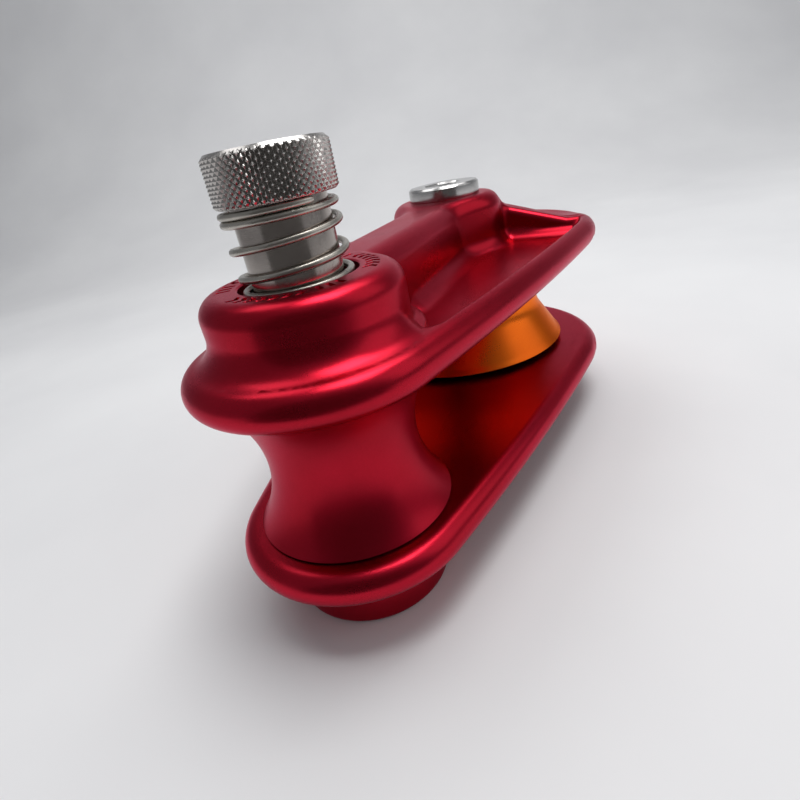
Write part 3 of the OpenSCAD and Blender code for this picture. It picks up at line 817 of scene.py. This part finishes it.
# ---------------------------------------------------------------- carried-over CAD nodes
for names, material in (
    (("spool_dowels", "axle_washer", "axle_nut", "spring_seat"), PLAIN_STEEL),
    # painted shade: these parts take the near-black steel that stands in for the shade in the pin's
    # counterbore
    (("pin_bush", "axle_sleeve", "lock_bush", "lock_bush_ring", "lock_cross_pin",
      "knob_grub_screw"), SHADE_DARK_STEEL),
    (("upper_thrust_washer", "lower_thrust_washer", "sheave_bush", "swing_bush"),
     BRONZE),
):
    for name in names:
        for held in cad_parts[name].material_slots:
            held.material = material

# ---------------------------------------------------------------- camera
AZIMUTH, ELEVATION, ROLL = 26.86, 26.21, 11.46
EYE = (58.65, -83.85, 94.14)         # from the foot of the pin's axis, in millimetres
LENS, SENSOR = 23.13, 36             # millimetres
az, el, roll = map(math.radians, (AZIMUTH, ELEVATION, ROLL))
back = Vector((math.sin(az) * math.cos(el), -math.cos(az) * math.cos(el), math.sin(el)))
right = Vector((math.cos(az), math.sin(az), 0))
up = back.cross(right)
turned = Matrix.Rotation(-roll, 3, back)
right, up = turned @ right, turned @ up
camera = bpy.data.cameras.new("camera")
camera.lens = LENS
camera.sensor_width = SENSOR
camera.clip_start = 0.005
eye = bpy.data.objects.new("camera", camera)
bpy.context.scene.collection.objects.link(eye)
place = Matrix((right, up, back)).transposed().to_4x4()
place.translation = Vector((PIN[0] + EYE[0], PIN[1] + EYE[1], EYE[2])) * MM
eye.matrix_world = place
bpy.context.scene.camera = eye

# ---------------------------------------------------------------- studio
paper = Finish("studio_paper", Roughness=0.7, Specular_IOR_Level=0.25)
paper.link(paper.tint(paper.noise(160, 4.0), ((0.3, (0.76, 0.76, 0.77)), (0.7, (0.84, 0.84, 0.845)))),
           paper.shader.inputs["Base Color"])
paper.link(paper.bump(paper.noise(45, 3.0), 1.0, 0.25), paper.shader.inputs["Normal"])



def sheet(name, verts, faces, material):
    """A smooth mesh from points in metres, which belongs to the studio."""
    mesh = bpy.data.meshes.new(name)
    mesh.from_pydata(verts, [], faces)
    mesh.shade_smooth()
    piece = bpy.data.objects.new(name, mesh)
    bpy.context.scene.collection.objects.link(piece)
    piece.data.materials.append(material)
    return piece


SWEEP_BACK, SWEEP_R, SWEEP_TOP, SWEEP_FRONT, SWEEP_HALF = 0.42, 0.5, 2.2, -2.4, 2.4
profile = [(SWEEP_FRONT, 0.0), (-0.8, 0.0), (0.0, 0.0), (SWEEP_BACK, 0.0)]
for k in range(1, 25):
    a = math.pi / 2 * k / 24
    profile.append((SWEEP_BACK + SWEEP_R * math.sin(a), SWEEP_R * (1 - math.cos(a))))
profile.append((SWEEP_BACK + SWEEP_R, SWEEP_TOP))
away = Vector((-back.x, -back.y, 0)).normalized()
side = Vector((right.x, right.y, 0)).normalized()
verts = [
    away * d + side * w + Vector((0, 0, h))
    for d, h in profile for w in (-SWEEP_HALF, SWEEP_HALF)
]
faces = [(2 * i, 2 * i + 1, 2 * i + 3, 2 * i + 2) for i in range(len(profile) - 1)]
sweep = sheet("paper_sweep", verts, faces, paper.material)


def softbox(name, spot, target, width, height, power):
    """A rectangular lamp that faces its target; metres and watts."""
    lamp = bpy.data.lights.new(name, "AREA")
    lamp.shape = "RECTANGLE"
    lamp.size, lamp.size_y, lamp.energy = width, height, power
    holder = bpy.data.objects.new(name, lamp)
    bpy.context.scene.collection.objects.link(holder)
    holder.location = spot
    holder.rotation_mode = "QUATERNION"
    holder.rotation_quaternion = (Vector(target) - Vector(spot)).to_track_quat("-Z", "Y")


middle = Vector(((PIN[0] + AXLE[0]) / 2, (PIN[1] + AXLE[1]) / 2, 45)) * MM
softbox("softbox_top", middle + side * 0.14 + Vector((0, 0, 0.75)), middle, 0.36, 0.36, 3.1)
softbox("softbox_left", middle - side * 0.3 + away * 0.25 + Vector((0, 0, 0.85)), middle,
        0.5, 0.4, 1.2)
softbox("softbox_right", middle + side * 0.9 - away * 0.1 + Vector((0, 0, 0.6)), middle,
        0.8, 0.8, 1.4)
softbox("softbox_back", middle + away * 0.45 + side * 0.2 + Vector((0, 0, 0.9)), middle,
        0.9, 0.3, 2.2)

# a dark card that leans back under and behind the camera, which only reflections see
CARD_W, CARD_HIGH, CARD_NEAR, CARD_FAR = 0.34, 0.34, 0.02, 0.14
foot = Vector((place.translation.x, place.translation.y, 0))
corners = [
    foot - away * distance + side * w + Vector((0, 0, h))
    for distance, h in ((CARD_NEAR, 0.0), (CARD_FAR, CARD_HIGH))
    for w in (-CARD_W / 2, CARD_W / 2)
]
felt = Finish("black_felt", Roughness=1.0, Specular_IOR_Level=0.0)
felt.link(felt.tint(felt.noise(3.0), ((0.3, (0.09, 0.09, 0.09)), (0.7, (0.13, 0.13, 0.13)))),
          felt.shader.inputs["Base Color"])
card = sheet("dark_card", corners, [(0, 1, 3, 2)], felt.material)
card.visible_camera = False
card.visible_diffuse = False
card.visible_shadow = False

world = bpy.data.worlds.new("room")
world.use_nodes = True
world.node_tree.nodes["Background"].inputs["Color"].default_value = (0.80, 0.82, 0.86, 1)
world.node_tree.nodes["Background"].inputs["Strength"].default_value = 0.3
bpy.context.scene.world = world
bpy.context.scene.view_settings.view_transform = "Standard"
